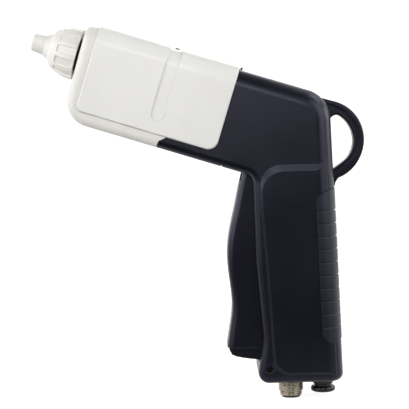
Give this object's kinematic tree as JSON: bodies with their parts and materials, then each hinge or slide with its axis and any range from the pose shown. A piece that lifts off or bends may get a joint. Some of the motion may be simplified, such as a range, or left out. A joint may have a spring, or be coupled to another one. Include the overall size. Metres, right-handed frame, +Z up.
{
  "type": "ionising air gun",
  "caption": "Hand-held pistol-grip ionising air gun with a fluted nozzle collar, long squeeze trigger, hanging loop, round power connector and push-in air inlet.",
  "frame": {"origin": "middle of the grip, on the gun's plane of symmetry", "axes": "+Z up along the grip, -X forward with the nozzle pointing to -X and 18 degrees upwards, -Y the gun's left side"},
  "size_m": [0.1756, 0.0398, 0.2007],
  "materials": {
    "housing_white": "smooth moulded ABS, satin to gloss",
    "cover_white": "smooth moulded ABS, satin to gloss",
    "nozzle_white": "moulded acetal",
    "body_dark": "fine textured glass-filled nylon",
    "insert_rubber": "soft-touch elastomer",
    "loop_dark": "fine textured nylon",
    "trigger_dark": "fine textured nylon",
    "fitting_black": "moulded acetal",
    "contact_block": "moulded polyamide",
    "nickel": "nickel-plated brass",
    "gold": "gold-plated brass contacts",
    "lamp": "smoky acrylic",
    "steel": "zinc-plated or stainless steel",
    "seal": "nitrile rubber",
    "ceramic": "PTFE insulator",
    "tungsten": "ground tungsten",
    "tube_blue": "polyurethane tube",
    "valve_metal": "machined aluminium",
    "potted": "potted epoxy case",
    "board": "solder-masked glass epoxy",
    "chip_black": "moulded component bodies",
    "hv_sheath": "silicone sleeving",
    "lead_grey": "PVC sheath"
  },
  "bodies": {
    "frame": {"base_screw": "steel", "board_components": "chip_black", "body_left": "body_dark", "body_right": "body_dark", "case_screws": "steel", "connector_gasket": "seal", "connector_insert": "contact_block", "connector_nut": "nickel", "connector_pins": "gold", "connector_shell": "nickel", "control_board": "board", "electrode_holder": "ceramic", "electrode_needle": "tungsten", "front_housing": "housing_white", "grip_insert": "insert_rubber", "hanging_loop": "loop_dark", "hv_lead": "hv_sheath", "hv_module": "potted", "inlet_fitting": "fitting_black", "lower_air_tube": "tube_blue", "micro_switch": "chip_black", "pivot_pin": "steel", "power_lead": "lead_grey", "snout": "fitting_black", "status_lamp": "lamp", "top_cover": "cover_white", "tube_seal": "seal", "upper_air_tube": "tube_blue", "valve_block": "valve_metal"},
    "trigger": {"trigger_shell": "trigger_dark", "trigger_lever": "trigger_dark"},
    "valve_stem": {"valve_stem": "steel", "return_spring": "steel"},
    "switch_plunger": {"switch_plunger": "contact_block"},
    "nozzle": {"nozzle_tip": "nozzle_white", "nozzle_seal": "seal"},
    "collar": {"nozzle_collar": "nozzle_white"},
    "release": {"release_collar": "fitting_black"}
  },
  "joints": [
    {"name": "trigger_squeeze", "type": "hinge", "parent": "frame", "child": "trigger", "pos_m": [-0.0206, 0, 0.06], "axis": [0, -1, 0], "range_deg": [0, 6.5], "stiffness_Nm_per_rad": 4, "springref_deg": -1.72},
    {"name": "valve_stem_lift", "type": "slide", "parent": "frame", "child": "valve_stem", "axis": [0, 0, 1], "range_m": [0, 0.00235], "deforming": ["return_spring"]},
    {"name": "switch_plunger_press", "type": "slide", "parent": "frame", "child": "switch_plunger", "axis": [0, 0, 1], "range_m": [0, 0.001]},
    {"name": "nozzle_unscrew", "type": "slide", "parent": "frame", "child": "nozzle", "axis": [-0.9511, 0, 0.309], "range_m": [0, 0.006]},
    {"name": "collar_turn", "type": "hinge", "parent": "nozzle", "child": "collar", "pos_m": [-0.1125, 0, 0.1185], "axis": [-0.9511, 0, 0.309], "range_deg": [0, 1081]},
    {"name": "release_press", "type": "slide", "parent": "frame", "child": "release", "axis": [0, 0, 1], "range_m": [0, 0.0011], "stiffness_N_per_m": 1500, "springref_m": -0.0005}
  ],
  "couplings": [
    {"joint": "valve_stem_lift", "follows": "trigger_squeeze", "m_per_rad": 0.0206},
    {"joint": "switch_plunger_press", "follows": "trigger_squeeze", "m_per_rad": 0.0086},
    {"joint": "collar_turn", "follows": "nozzle_unscrew", "rad_per_m": 3141.6}
  ]
}
